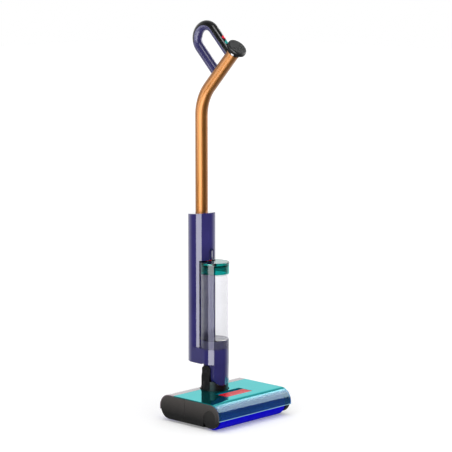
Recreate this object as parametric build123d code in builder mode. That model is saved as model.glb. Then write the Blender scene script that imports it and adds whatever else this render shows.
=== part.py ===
from build123d import *
import math
import os

os.makedirs("parts", exist_ok=True)

# A cordless upright floor washer. X is its width, -Y its front and +Z up, in millimetres.
# The origin is on the floor, in the middle of the machine's footprint.

# ---- driving dimensions ----
WIDTH = 300.0
DEPTH = 255.0
HEAD_DEPTH = 238.0
HEAD_TOP = 78.0
HEAD_BOTTOM = 4.0
HEAD_FRONT_Y = -DEPTH / 2
HALF_W = WIDTH / 2
SHELL_T = 2.4                 # wall of the head's covers
BODY_WALL = 2.2
SMALL_GAP = 0.3               # between pieces that move apart

# floor head outline: a stadium seen from the side
CAP_R = (HEAD_TOP - HEAD_BOTTOM) / 2
HEAD_MID_Z = HEAD_BOTTOM + CAP_R
HEAD_MID_Y = HEAD_FRONT_Y + HEAD_DEPTH / 2
HEAD_REAR_Y = HEAD_FRONT_Y + HEAD_DEPTH
COVER_LIP_Z = 32.0            # how low the covers reach at the front and rear
SPLIT_Y = 54.5                # joint between the top cover and the rear cover
CAP_SEAM_Y = 10.8             # joint between the two end caps of one side
CAP_T = 7.7
CAP_INSET = SHELL_T + SMALL_GAP
PLATE_X = 139.0               # inner face of the chassis side plates
PLATE_T = 3.0

# rollers and brush bars
ROLLER_R = 34.5
CORE_R = 27.0
CORE_BORE_R = 22.0
FRONT_ROLLER_Y = HEAD_FRONT_Y + CAP_R + 2.0
REAR_ROLLER_Y = HEAD_REAR_Y - CAP_R - 2.0
BRUSH_R = 11.0
BRUSH_DISTANCE = 46.0         # from a roller's axis to its brush bar's axis
BRUSH_ANGLE = 20.0
BRUSH_DY = BRUSH_DISTANCE * math.cos(math.radians(BRUSH_ANGLE))
BRUSH_Z = ROLLER_R + BRUSH_DISTANCE * math.sin(math.radians(BRUSH_ANGLE))
ROLLER_PULLEY_R = 24.0
BRUSH_PULLEY_R = 9.0

# body tube, tank and neck
BODY_R = 40.0
BODY_Y = DEPTH / 2 - BODY_R
NECK_Y = BODY_Y - 51.0        # axis of the water tank, the neck and the yoke
HOUSING_BOTTOM = 153.5
HOUSING_TOP = 200.0
BODY_TOP = 589.0
TOP_SLOPE = 5.0
TANK_R = 42.3
TANK_CAP_R = 43.3
NOTCH_R = 43.9
TANK_BOTTOM = HOUSING_TOP + SMALL_GAP
TANK_FLOOR = 227.0
TANK_SHOULDER = 418.0
TANK_TOP = 452.0
NOTCH_TOP = 454.0

# yoke and its two pivots
YOKE_R = 40.0
YOKE_BOTTOM = 71.5
CUP_FLOOR = 84.0
PIVOT_Z = 134.0
PIN_R = 4.0
TONGUE_HALF = 31.5
TONGUE_BOTTOM = 94.0

# wand and handle
WAND_R = 18.3
WAND_BEND_Z = 872.0
WAND_BEND_R = 120.0
WAND_ANGLE = 43.0
LOOP_R = 14.2
LOOP_TURN_R = 38.0
LOOP_ANGLE = 46.0
LOOP_CENTRE = (BODY_Y - 22.3, 1090.6)
DISC_R = 29.5


def write(part, name):
    """Label a finished piece and write it as its own STEP file."""
    part.label = name
    export_step(part, f"parts/{name}.step")


def rod(x0, x1, y, z, r, mode=Mode.ADD):
    """A cylinder along X inside the current part."""
    with BuildSketch(Plane.YZ.offset(min(x0, x1))) as section:
        with Locations((y, z)):
            Circle(r)
    extrude(section.sketch, amount=abs(x1 - x0), mode=mode)


def post(z0, z1, x, y, r, mode=Mode.ADD):
    """A cylinder along Z inside the current part."""
    with BuildSketch(Plane.XY.offset(z0)) as section:
        with Locations((x, y)):
            Circle(r)
    extrude(section.sketch, amount=z1 - z0, mode=mode)


def block(x0, x1, y0, y1, z0, z1, mode=Mode.ADD):
    """A box between two corners inside the current part."""
    with BuildSketch(Plane.XY.offset(z0)) as section:
        with Locations(((x0 + x1) / 2, (y0 + y1) / 2)):
            Rectangle(x1 - x0, y1 - y0)
    extrude(section.sketch, amount=z1 - z0, mode=mode)


def head_slice(x0, x1, inset, y0=-400.0, y1=400.0, mode=Mode.ADD):
    """The head's side outline, set in by a distance, between two X and two Y limits."""
    with BuildSketch(Plane.YZ.offset(min(x0, x1))) as section:
        with Locations((HEAD_MID_Y, HEAD_MID_Z)):
            SlotOverall(HEAD_DEPTH - 2 * inset, 2 * (CAP_R - inset))
        with Locations(((y0 + y1) / 2, HEAD_MID_Z)):
            Rectangle(y1 - y0, 4 * CAP_R, mode=Mode.INTERSECT)
    extrude(section.sketch, amount=abs(x1 - x0), mode=mode)


# ================= floor head: covers =================
TAB_HALF = 53.0
TAB_FRONT_Y = -65.0
TAB_REAR_Y = -28.0
HOLLOW_REAR_Y = -10.5
BASIN_FLOOR = 72.0
BASIN_T = 1.6
NECK_HOLE_R = YOKE_R + 2.8



def cover_outline():
    """Side outline of a cover shell: the head's rounded outline, with upright walls below mid height so it lifts off."""
    for inset, mode in ((0.0, Mode.ADD), (SHELL_T, Mode.SUBTRACT)):
        with Locations((HEAD_MID_Y, HEAD_MID_Z)):
            SlotOverall(HEAD_DEPTH - 2 * inset, 2 * (CAP_R - inset), mode=mode)
        with Locations((HEAD_MID_Y, HEAD_MID_Z - CAP_R / 2)):
            Rectangle(HEAD_DEPTH - 2 * inset, CAP_R, mode=mode)


with BuildPart() as top_cover:
    with BuildSketch(Plane.YZ.offset(-HALF_W)):
        cover_outline()
        with Locations(((HEAD_FRONT_Y + SPLIT_Y) / 2 - 1, (COVER_LIP_Z + HEAD_TOP) / 2 + 1)):
            Rectangle(SPLIT_Y - HEAD_FRONT_Y + 2, HEAD_TOP - COVER_LIP_Z + 2, mode=Mode.INTERSECT)
    extrude(amount=WIDTH)
    block(-TAB_HALF - BASIN_T, TAB_HALF + BASIN_T, TAB_FRONT_Y - BASIN_T, HOLLOW_REAR_Y + BASIN_T,
          BASIN_FLOOR - BASIN_T, HEAD_TOP - SHELL_T)
    for x0 in (-130.0, 60.0):
        for y0 in (-31.5, 12.3):
            block(x0, x0 + 70.0, y0, y0 + 1.8, 69.6, HEAD_TOP - SHELL_T)
    block(-TAB_HALF, TAB_HALF, TAB_FRONT_Y, HOLLOW_REAR_Y, BASIN_FLOOR, HEAD_TOP + 1, mode=Mode.SUBTRACT)
    post(HEAD_TOP - 6, HEAD_TOP + 2, 0, NECK_Y, NECK_HOLE_R, mode=Mode.SUBTRACT)
write(top_cover.part, "top_cover")

with BuildPart() as rear_cover:
    with BuildSketch(Plane.YZ.offset(-HALF_W)):
        cover_outline()
        with Locations(((HEAD_REAR_Y + SPLIT_Y + 0.5) / 2 + 1, (COVER_LIP_Z + HEAD_TOP) / 2 + 1)):
            Rectangle(HEAD_REAR_Y - SPLIT_Y - 0.5 + 2, HEAD_TOP - COVER_LIP_Z + 2, mode=Mode.INTERSECT)
    extrude(amount=WIDTH)
    post(HEAD_TOP - 6, HEAD_TOP + 2, 0, NECK_Y, NECK_HOLE_R, mode=Mode.SUBTRACT)
write(rear_cover.part, "rear_cover")

# red release tab: a shallow lens-shaped plate in the window of the top cover
TAB_BOTTOM = 74.9
with BuildPart() as release_tab:
    block(-TAB_HALF + 0.5, TAB_HALF - 0.5, TAB_FRONT_Y + 0.5, TAB_REAR_Y, TAB_BOTTOM, HEAD_TOP - 0.2)
    vertical = release_tab.edges().filter_by(Axis.Z)
    fillet(vertical, radius=2.5)
    fillet(release_tab.faces().sort_by(Axis.Z)[-1].edges(), radius=0.9)
write(release_tab.part, "release_tab")

# two small compression springs under the tab, each a closed stack of three turns
SPRING_WIRE_R = 0.5
SPRING_PITCH = 0.9
SPRING_R = 4.0
with BuildPart() as release_springs:
    for x in (-35.0, 35.0):
        for level in range(3):
            z = BASIN_FLOOR + 0.05 + SPRING_WIRE_R + level * SPRING_PITCH
            with Locations((x, (TAB_FRONT_Y + TAB_REAR_Y) / 2, z)):
                Torus(SPRING_R, SPRING_WIRE_R)
write(release_springs.part, "release_springs")

# ================= floor head: end caps =================
SCREW_R = 1.5
FIXED_CAP_SCREW_Z = (20.0, 60.0)


STUB_R = 6.0
STUB_END = 131.0
DISC_CAP_R = 24.5
DISC_CAP_T = 2.5
FRONT_SCREW_Y = -20.0
REAR_SCREW_Y = 16.0


NOTCH_DEPTH = 5.5
NOTCH_REACH = 25.0            # from the roller's axis to the notch's upright edge
NOTCH_HIGH = 24.0
SEAM_HALF = 0.45


def end_cap(side, front, screw_y):
    """One half of an end cap. A roller cap carries the stub axle; a fixed cap takes two screws."""
    y0, y1 = (-400.0, CAP_SEAM_Y - SEAM_HALF) if front else (CAP_SEAM_Y + SEAM_HALF, 400.0)
    inner = side * (HALF_W - CAP_T)
    outer = side * HALF_W
    with BuildPart() as cap:
        head_slice(inner, outer, CAP_INSET, y0, y1)
        rim = cap.faces().sort_by(Axis.X)[-1 if side > 0 else 0].edges().filter_by(GeomType.CIRCLE)
        fillet(rim, radius=2.0)
        roller_y = FRONT_ROLLER_Y if front else REAR_ROLLER_Y
        if screw_y is None:
            rod(inner, side * STUB_END, roller_y, ROLLER_R, STUB_R)
            rod(outer, outer - side * DISC_CAP_T, roller_y, ROLLER_R - 1.5, DISC_CAP_R + 0.4, mode=Mode.SUBTRACT)
            inward = 1 if front else -1
            # finger notch: a wedge between the grip disc and an upright edge behind it
            with BuildPart(mode=Mode.PRIVATE) as notch:
                block(min(outer, outer - side * NOTCH_DEPTH), max(outer, outer - side * NOTCH_DEPTH),
                      min(roller_y + inward * 8.0, roller_y + inward * NOTCH_REACH),
                      max(roller_y + inward * 8.0, roller_y + inward * NOTCH_REACH), 0, NOTCH_HIGH)
                rod(outer + side, inner, roller_y, ROLLER_R - 1.5, DISC_CAP_R + 1.4, mode=Mode.SUBTRACT)
            add(notch.part, mode=Mode.SUBTRACT)
        else:
            for z in FIXED_CAP_SCREW_Z:
                rod(inner, inner + side * 5, screw_y, z, SCREW_R, mode=Mode.SUBTRACT)
    return cap.part


write(end_cap(-1, True, None), "left_front_cap")
write(end_cap(-1, False, REAR_SCREW_Y), "left_rear_cap")
write(end_cap(1, True, FRONT_SCREW_Y), "right_front_cap")
write(end_cap(1, False, None), "right_rear_cap")


def roller_disc(side, y):
    """Round grip plate in a roller cap, over the end of the roller."""
    with BuildPart() as plate:
        rod(side * (HALF_W - DISC_CAP_T), side * (HALF_W - 0.2), y, ROLLER_R - 1.5, DISC_CAP_R)
        face = plate.faces().sort_by(Axis.X)[-1 if side > 0 else 0]
        fillet(face.edges(), radius=0.8)
    return plate.part


write(roller_disc(-1, FRONT_ROLLER_Y), "front_roller_disc")
write(roller_disc(1, REAR_ROLLER_Y), "rear_roller_disc")

with BuildPart() as cap_screws:
    for side, y in ((1, FRONT_SCREW_Y), (-1, REAR_SCREW_Y)):
        for z in FIXED_CAP_SCREW_Z:
            rod(side * (PLATE_X - 1.8), side * PLATE_X, y, z, 2.8)
            rod(side * PLATE_X, side * (HALF_W - CAP_T + 5), y, z, SCREW_R)
write(cap_screws.part, "cap_screws")

# ================= floor head: chassis =================
PAN_BOTTOM = HEAD_BOTTOM + 0.6
PAN_TOP = HEAD_BOTTOM + 3.6
BEAM_BOTTOM = 66.0
BEAM_TOP = 71.0
BEAM_FRONT = 17.5
BEAM_REAR = 53.5
SPIGOT_R = 14.0
FRONT_BRUSH_Y = FRONT_ROLLER_Y + BRUSH_DY
REAR_BRUSH_Y = REAR_ROLLER_Y - BRUSH_DY
MOTOR_R = 19.0
MOTOR_NECK_R = 8.0
PIVOT_FIT = 0.05              # radial play of a shaft in its hole

with BuildPart() as head_chassis:
    block(-PLATE_X - 1, PLATE_X + 1, -60.0, 45.0, PAN_BOTTOM, PAN_TOP)
    block(-PLATE_X - 1, PLATE_X + 1, BEAM_FRONT, BEAM_REAR, BEAM_BOTTOM, BEAM_TOP)
    for side in (-1, 1):
        head_slice(side * PLATE_X, side * (PLATE_X + PLATE_T), 3.0)
        open_y = FRONT_ROLLER_Y if side < 0 else REAR_ROLLER_Y
        motor_y = REAR_ROLLER_Y if side < 0 else FRONT_ROLLER_Y
        reach = side * (PLATE_X + PLATE_T + 1)
        start = side * (PLATE_X - 1)
        rod(start, reach, open_y, ROLLER_R, ROLLER_R + 0.9, mode=Mode.SUBTRACT)
        rod(start, reach, motor_y, ROLLER_R, MOTOR_NECK_R, mode=Mode.SUBTRACT)
        far = open_y - 60 if side < 0 else open_y + 60
        block(min(start, reach), max(start, reach), min(open_y, far), max(open_y, far),
              HEAD_BOTTOM - 1, 55.0, mode=Mode.SUBTRACT)
        for y in (FRONT_BRUSH_Y, REAR_BRUSH_Y):
            rod(start, reach, y, BRUSH_Z, 2.5 + PIVOT_FIT, mode=Mode.SUBTRACT)
        screw_y = FRONT_SCREW_Y if side > 0 else REAR_SCREW_Y
        for z in FIXED_CAP_SCREW_Z:
            rod(start, reach, screw_y, z, SCREW_R, mode=Mode.SUBTRACT)
    post(BEAM_BOTTOM - 1, BEAM_TOP + 1, 0, NECK_Y, SPIGOT_R + PIVOT_FIT, mode=Mode.SUBTRACT)
write(head_chassis.part, "head_chassis")


# ================= floor head: rollers, motors, brushes =================
def roller_core(side, y):
    """Rigid tube of a roller: bearing seat, web for the motor shaft, and an open end with a belt ring."""
    with BuildPart() as core:
        rod(-side * 141.0, side * 132.0, y, ROLLER_R, CORE_R)
        rod(-side * 133.0, side * 133.0, y, ROLLER_R, CORE_BORE_R, mode=Mode.SUBTRACT)
        rod(side * 20.0, side * 26.0, y, ROLLER_R, CORE_BORE_R + 0.5)
        rod(side * 19.0, side * 27.0, y, ROLLER_R, 4.0 + PIVOT_FIT, mode=Mode.SUBTRACT)
        rod(-side * 142.0, -side * 132.0, y, ROLLER_R, 10.0, mode=Mode.SUBTRACT)
        rod(side * 131.0, side * 138.5, y, ROLLER_R, ROLLER_PULLEY_R)
        rod(side * 130.0, side * 139.5, y, ROLLER_R, MOTOR_R + 1.5, mode=Mode.SUBTRACT)
    return core.part


def roller_sleeve(side, y):
    """Microfibre tube of a roller."""
    with BuildPart() as sleeve:
        rod(-side * 141.5, side * 131.5, y, ROLLER_R, ROLLER_R)
        rod(-side * 142.0, side * 132.0, y, ROLLER_R, CORE_R, mode=Mode.SUBTRACT)
    return sleeve.part


def roller_bearing(side, y):
    """Plain bush in the core that runs on the cap's stub axle."""
    with BuildPart() as bush:
        rod(-side * 141.0, -side * 133.0, y, ROLLER_R, 10.0)
        rod(-side * 142.0, -side * 132.0, y, ROLLER_R, STUB_R + PIVOT_FIT, mode=Mode.SUBTRACT)
    return bush.part


def roller_motor(side, y):
    """Tubular motor inside a roller, held by the chassis side plate."""
    with BuildPart() as motor:
        rod(side * 30.0, side * 130.0, y, ROLLER_R, MOTOR_R)
        rod(side * 130.0, side * (PLATE_X + PLATE_T), y, ROLLER_R, MOTOR_NECK_R)
        rod(side * 16.0, side * 30.0, y, ROLLER_R, 4.0)
    return motor.part


def drive_belt(side, roller_y, brush_y):
    """Belt from the roller's ring to the brush bar's pulley."""
    inner = SMALL_GAP
    outer = SMALL_GAP + 1.5
    x0 = side * 133.5 if side > 0 else side * 138.0
    with BuildPart() as belt:
        for clearance, mode in ((outer, Mode.ADD), (inner, Mode.SUBTRACT)):
            with BuildSketch(Plane.YZ.offset(x0)):
                with Locations((roller_y, ROLLER_R)):
                    Circle(ROLLER_PULLEY_R + clearance)
                with Locations((brush_y, BRUSH_Z)):
                    Circle(BRUSH_PULLEY_R + clearance)
                make_hull()
            extrude(amount=4.5, mode=mode)
    return belt.part


def brush_bar(side, y):
    """Debris brush: a shaft with four bristle strips, a belt pulley and a thin pivot at each end."""
    with BuildPart() as brush:
        rod(-138.6, 138.6, y, BRUSH_Z, 5.0)
        rod(-141.5, 141.5, y, BRUSH_Z, 2.5)
        with BuildSketch(Plane.YZ.offset(-128)):
            with Locations((y, BRUSH_Z)):
                Rectangle(2 * BRUSH_R, 3.0, rotation=45)
                Rectangle(3.0, 2 * BRUSH_R, rotation=45)
        extrude(amount=256)
        rod(side * 133.5, side * 138.0, y, BRUSH_Z, BRUSH_PULLEY_R)
    return brush.part


def water_bar(sign, roller_y):
    """Pipe with a row of jets over a roller."""
    y = roller_y + sign * 11.0
    with BuildPart() as bar:
        rod(-PLATE_X, PLATE_X, y, 70.6, 2.5)
        rod(-PLATE_X + 2, PLATE_X - 2, y, 70.6, 1.4, mode=Mode.SUBTRACT)
        with BuildSketch(Plane.XY.offset(66.0)):
            with Locations((0, y)):
                with GridLocations(20.0, 1.0, 13, 1):
                    Circle(0.6)
        extrude(amount=4.6, mode=Mode.SUBTRACT)
    return bar.part


def extraction_plate(sign, roller_y):
    """Steel scraper that wrings dirty water out of a roller."""
    corners = [(34.4, -8.0), (33.8, -10.6), (44.0, -17.0), (45.5, -14.5)]
    with BuildPart() as plate:
        with BuildSketch(Plane.YZ.offset(-PLATE_X)):
            with BuildLine():
                Polyline([(roller_y + sign * y, ROLLER_R + z) for y, z in corners], close=True)
            make_face()
        extrude(amount=2 * PLATE_X)
    return plate.part


ROLLER_SIDES = (("front", 1, FRONT_ROLLER_Y, FRONT_BRUSH_Y), ("rear", -1, REAR_ROLLER_Y, REAR_BRUSH_Y))
for which, side, roller_y, brush_y in ROLLER_SIDES:
    write(roller_core(side, roller_y), f"{which}_roller_core")
    write(roller_sleeve(side, roller_y), f"{which}_roller_sleeve")
    write(roller_bearing(side, roller_y), f"{which}_roller_bearing")
    write(roller_motor(side, roller_y), f"{which}_roller_motor")
    write(drive_belt(side, roller_y, brush_y), f"{which}_drive_belt")
    write(brush_bar(side, brush_y), f"{which}_brush_bar")
    write(water_bar(-side, roller_y), f"{which}_water_bar")
    write(extraction_plate(side, roller_y), f"{which}_extraction_plate")

# ================= floor head: dirty water tank =================
DIRTY_X = 134.0
DIRTY_FRONT = -32.5
DIRTY_REAR = 15.5
DIRTY_BOTTOM = PAN_TOP + 0.4
DIRTY_TOP = 69.6
DIRTY_WALL = 1.8
DIRTY_BAY_R = YOKE_R + 3.2


def dirty_outline(inset):
    """Plan of the dirty tank: a long box with a bay that clears the yoke."""
    with Locations((0, (DIRTY_FRONT + DIRTY_REAR) / 2)):
        RectangleRounded(2 * (DIRTY_X - inset), DIRTY_REAR - DIRTY_FRONT - 2 * inset, 6.0 - inset)
    with Locations((0, NECK_Y)):
        Circle(DIRTY_BAY_R + inset, mode=Mode.SUBTRACT)


with BuildPart() as dirty_tank:
    with BuildSketch(Plane.XY.offset(DIRTY_BOTTOM)):
        dirty_outline(0.0)
    extrude(amount=DIRTY_TOP - DIRTY_BOTTOM)
    with BuildSketch(Plane.XY.offset(DIRTY_BOTTOM + DIRTY_WALL)):
        dirty_outline(DIRTY_WALL)
    extrude(amount=DIRTY_TOP, mode=Mode.SUBTRACT)
write(dirty_tank.part, "dirty_tank")

# mesh tray that hangs inside the dirty tank and keeps the debris out of the water
TRAY_FLOOR = 50.0
with BuildPart() as debris_tray:
    with BuildSketch(Plane.XY.offset(TRAY_FLOOR)):
        dirty_outline(DIRTY_WALL + 0.4)
    extrude(amount=DIRTY_TOP - TRAY_FLOOR - 1)
    with BuildSketch(Plane.XY.offset(TRAY_FLOOR + 1.2)):
        dirty_outline(DIRTY_WALL + 1.6)
    extrude(amount=DIRTY_TOP, mode=Mode.SUBTRACT)
    with BuildSketch(Plane.XY.offset(TRAY_FLOOR - 1)):
        with Locations((0, -18.5)):
            with GridLocations(8.0, 7.0, 30, 3):
                RectangleRounded(4.6, 4.0, 1.0)
    extrude(amount=3.0, mode=Mode.SUBTRACT)
write(debris_tray.part, "debris_tray")

# ================= neck: yoke, pins, ring =================
EAR_IN = 32.2
EAR_OUT = 39.0
EAR_HALF = 15.5
EAR_TOP = 150.0
CUP_WALL = 5.0
CUP_REAR_Y = NECK_Y + 15.0
CUP_TOP = 105.0
CHAMFER_LOW = 119.0
CHAMFER_HIGH = 130.0


def tongue_front(gap):
    """Front outline of the tongue: straight sides and a rounded bottom, grown by a gap."""
    half = TONGUE_HALF + gap
    low = TONGUE_BOTTOM - gap
    round_r = 24.0
    with BuildLine() as outline:
        Line((-half, HOUSING_TOP), (-half, low + round_r))
        RadiusArc((-half, low + round_r), (-half + round_r, low), -round_r)
        Line((-half + round_r, low), (half - round_r, low))
        RadiusArc((half - round_r, low), (half, low + round_r), -round_r)
        Line((half, low + round_r), (half, HOUSING_TOP))
        Line((half, HOUSING_TOP), (-half, HOUSING_TOP))
    make_face(outline.line)


with BuildPart() as yoke:
    post(YOKE_BOTTOM, CUP_TOP, 0, NECK_Y, YOKE_R)
    with BuildSketch(Plane.XZ.offset(-NECK_Y - 60)):
        tongue_front(1.2)
    extrude(amount=120, mode=Mode.SUBTRACT)
    post(CUP_FLOOR, CUP_TOP + 1, 0, NECK_Y, YOKE_R - CUP_WALL, mode=Mode.SUBTRACT)
    block(-YOKE_R - 1, YOKE_R + 1, CUP_REAR_Y, NECK_Y + YOKE_R + 1, CUP_FLOOR, CUP_TOP + 1, mode=Mode.SUBTRACT)
    block(-30.0, 30.0, NECK_Y - 20.0, CUP_REAR_Y + 5, CUP_FLOOR, CUP_TOP + 1, mode=Mode.SUBTRACT)
    for side in (-1, 1):
        x0 = side * EAR_IN if side > 0 else side * EAR_OUT
        with BuildSketch(Plane.YZ.offset(x0)) as ear:
            with Locations((NECK_Y, (CUP_FLOOR + EAR_TOP) / 2 - 2)):
                Rectangle(2 * EAR_HALF, EAR_TOP - CUP_FLOOR + 4)
            chamfer(ear.vertices().group_by(Axis.Y)[-1], length=7.0)
        extrude(amount=EAR_OUT - EAR_IN)
    for side in (-1, 1):
        with BuildSketch(Plane.XZ.offset(-NECK_Y - 30)):
            with BuildLine():
                Polyline((side * EAR_OUT, CHAMFER_LOW), (side * (EAR_OUT + 5), CHAMFER_LOW),
                         (side * (EAR_OUT + 5), EAR_TOP + 5), (side * (EAR_OUT - 2.4), EAR_TOP + 5),
                         (side * (EAR_OUT - 2.4), CHAMFER_HIGH), close=True)
            make_face()
        extrude(amount=60, mode=Mode.SUBTRACT)
    rod(-EAR_OUT - 1, EAR_OUT + 1, NECK_Y, PIVOT_Z, PIN_R, mode=Mode.SUBTRACT)
    post(65.8, YOKE_BOTTOM, 0, NECK_Y, SPIGOT_R)
    post(64.3, 65.8, 0, NECK_Y, SPIGOT_R - 3)
    post(60.0, CUP_FLOOR + 1, 0, NECK_Y, 5.0, mode=Mode.SUBTRACT)
write(yoke.part, "yoke")

with BuildPart() as yoke_ring:
    post(64.3, 65.8, 0, NECK_Y, SPIGOT_R + 2.5)
    post(64.0, 66.0, 0, NECK_Y, SPIGOT_R - 3, mode=Mode.SUBTRACT)
write(yoke_ring.part, "yoke_ring")

PIN_INNER = 26.5
with BuildPart() as recline_pins:
    for side in (-1, 1):
        rod(side * PIN_INNER, side * (EAR_OUT - 2.4), NECK_Y, PIVOT_Z, PIN_R)
write(recline_pins.part, "recline_pins")

BUSH_R = 6.0
with BuildPart() as pivot_bushes:
    for side in (-1, 1):
        rod(side * (PIN_INNER + 0.5), side * TONGUE_HALF, NECK_Y, PIVOT_Z, BUSH_R)
        rod(side * (PIN_INNER - 1), side * (TONGUE_HALF + 1), NECK_Y, PIVOT_Z, PIN_R + PIVOT_FIT, mode=Mode.SUBTRACT)
write(pivot_bushes.part, "pivot_bushes")

# ================= body: lower housing and tube =================
TONGUE_REAR_Y = NECK_Y + 20.0
POCKET_TOP = 157.5
VALVE_R = 5.0
SOCKET_R = 7.0
SOCKET_BOTTOM = HOUSING_TOP - 9.0
CONTACT_Z = 167.0
CONTACT_X = 7.0
CONTACT_R = 2.5


def housing_outline(inset):
    """Plan of the lower housing: the body tube and the tank column joined by flat sides."""
    with Locations((0, BODY_Y)):
        Circle(BODY_R - inset)
    with Locations((0, NECK_Y)):
        Circle(TANK_R - inset)
    make_hull()


with BuildPart() as lower_housing:
    with BuildSketch(Plane.XY.offset(HOUSING_BOTTOM)):
        housing_outline(0.0)
    extrude(amount=HOUSING_TOP - HOUSING_BOTTOM)
    chamfer(lower_housing.faces().sort_by(Axis.Z)[0].edges(), length=1.5)
    with BuildSketch(Plane.XY.offset(HOUSING_BOTTOM + 2.5)):
        housing_outline(2.5)
    extrude(amount=HOUSING_TOP - HOUSING_BOTTOM - 5.0, mode=Mode.SUBTRACT)
    with BuildPart(mode=Mode.PRIVATE) as tongue:
        with BuildSketch(Plane.XY.offset(HOUSING_BOTTOM + 2.0)):
            with Locations((0, NECK_Y)):
                Circle(TANK_R - 0.2)
        extrude(amount=-70, taper=1.3)
        with BuildSketch(Plane.XZ.offset(-NECK_Y - 60)):
            tongue_front(0.0)
        extrude(amount=120, mode=Mode.INTERSECT)
        block(-60, 60, TONGUE_REAR_Y, NECK_Y + 60, 0, HOUSING_TOP, mode=Mode.SUBTRACT)
        rear_low = tongue.edges().filter_by(Axis.X).group_by(Axis.Z)[0].sort_by(Axis.Y)[-1]
        fillet(rear_low, radius=10.0)
    add(tongue.part)
    # a hollow inside the tongue, for the water hose
    block(-PIN_INNER + 0.5, PIN_INNER - 0.5, NECK_Y - 30.0, TONGUE_REAR_Y - 3.0, 112.0, HOUSING_BOTTOM + 3, mode=Mode.SUBTRACT)
    # arched pockets beside the tongue, in which the yoke's ears turn
    for side in (-1, 1):
        x0 = TONGUE_HALF if side > 0 else -TANK_R - 2
        with BuildSketch(Plane.YZ.offset(x0)):
            with Locations((NECK_Y, PIVOT_Z)):
                Circle(POCKET_TOP - PIVOT_Z)
            with Locations((NECK_Y - 20, PIVOT_Z - 8)):
                Rectangle(10.0, 50.0)
        extrude(amount=TANK_R + 2 - TONGUE_HALF, mode=Mode.SUBTRACT)
    rod(-TONGUE_HALF - 1, TONGUE_HALF + 1, NECK_Y, PIVOT_Z, BUSH_R, mode=Mode.SUBTRACT)
    post(HOUSING_TOP - 3, HOUSING_TOP + 1, 0, NECK_Y, SOCKET_R, mode=Mode.SUBTRACT)
    post(HOUSING_TOP - 3, HOUSING_TOP + 1, 0, BODY_Y, BODY_R - 12, mode=Mode.SUBTRACT)
    for side in (-1, 1):
        with BuildSketch(Plane.XZ.offset(-BODY_Y - BODY_R - 1)):
            with Locations((side * CONTACT_X, CONTACT_Z)):
                Circle(CONTACT_R)
        extrude(amount=8, mode=Mode.SUBTRACT)
write(lower_housing.part, "lower_housing")

with BuildPart() as charge_contacts:
    for side in (-1, 1):
        with BuildSketch(Plane.XZ.offset(-BODY_Y - BODY_R + 1.2)):
            with Locations((side * CONTACT_X, CONTACT_Z)):
                Circle(CONTACT_R)
        extrude(amount=3.2)
write(charge_contacts.part, "charge_contacts")

# rubber seat under the tank, inside the lower housing
with BuildPart() as tank_socket:
    post(SOCKET_BOTTOM, HOUSING_TOP - 2.5, 0, NECK_Y, 10.0)
    post(SOCKET_BOTTOM, HOUSING_TOP, 0, NECK_Y, SOCKET_R - 0.2)
    post(SOCKET_BOTTOM + 1.5, HOUSING_TOP + 1, 0, NECK_Y, SOCKET_R - 2.0, mode=Mode.SUBTRACT)
    post(SOCKET_BOTTOM - 1, HOUSING_TOP, 0, NECK_Y, 2.0, mode=Mode.SUBTRACT)
write(tank_socket.part, "tank_socket")

TOP_PLANE = Plane(origin=(0, BODY_Y, BODY_TOP), x_dir=(1, 0, 0),
                  z_dir=(0, math.sin(math.radians(TOP_SLOPE)), math.cos(math.radians(TOP_SLOPE))))
TOP_CAP_T = 3.0
SCOOP_R = 9.5
SCOOP_TOP = 479.0

with BuildPart() as body_tube:
    post(HOUSING_TOP, BODY_TOP + 10, 0, BODY_Y, BODY_R)
    with BuildPart(mode=Mode.PRIVATE) as cavity:
        post(HOUSING_TOP - 1, BODY_TOP + 11, 0, BODY_Y, BODY_R - BODY_WALL)
        post(HOUSING_TOP - 2, NOTCH_TOP + BODY_WALL, 0, NECK_Y, NOTCH_R + BODY_WALL, mode=Mode.SUBTRACT)
        post(NOTCH_TOP, SCOOP_TOP, 0, BODY_Y - BODY_R, SCOOP_R + BODY_WALL, mode=Mode.SUBTRACT)
        with Locations((0, BODY_Y - BODY_R, SCOOP_TOP)):
            Sphere(SCOOP_R + BODY_WALL, mode=Mode.SUBTRACT)
    add(cavity.part, mode=Mode.SUBTRACT)
    post(HOUSING_TOP - 1, NOTCH_TOP, 0, NECK_Y, NOTCH_R, mode=Mode.SUBTRACT)
    post(NOTCH_TOP - 1, SCOOP_TOP, 0, BODY_Y - BODY_R, SCOOP_R, mode=Mode.SUBTRACT)
    with Locations((0, BODY_Y - BODY_R, SCOOP_TOP)):
        Sphere(SCOOP_R, mode=Mode.SUBTRACT)
    split(bisect_by=TOP_PLANE.offset(-TOP_CAP_T), keep=Keep.BOTTOM)
write(body_tube.part, "body_tube")

with BuildPart() as body_top_cap:
    post(BODY_TOP - 20, BODY_TOP + 20, 0, BODY_Y, BODY_R)
    post(BODY_TOP - 21, BODY_TOP + 21, 0, BODY_Y, WAND_R, mode=Mode.SUBTRACT)
    split(bisect_by=TOP_PLANE, keep=Keep.BOTTOM)
    split(bisect_by=TOP_PLANE.offset(-TOP_CAP_T), keep=Keep.TOP)
write(body_top_cap.part, "body_top_cap")

# ================= body: inner parts =================
CELL_R = 10.6
CELL_H = 70.0
CELL_PITCH_Z = 72.0
CELLS_Z = 226.0
CELL_X = 11.2
CELL_Y = BODY_Y + 19.0
with BuildPart() as battery_cells:
    for level in range(3):
        for side in (-1, 1):
            z = CELLS_Z + level * CELL_PITCH_Z
            post(z, z + CELL_H, side * CELL_X, CELL_Y, CELL_R)
write(battery_cells.part, "battery_cells")

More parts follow.
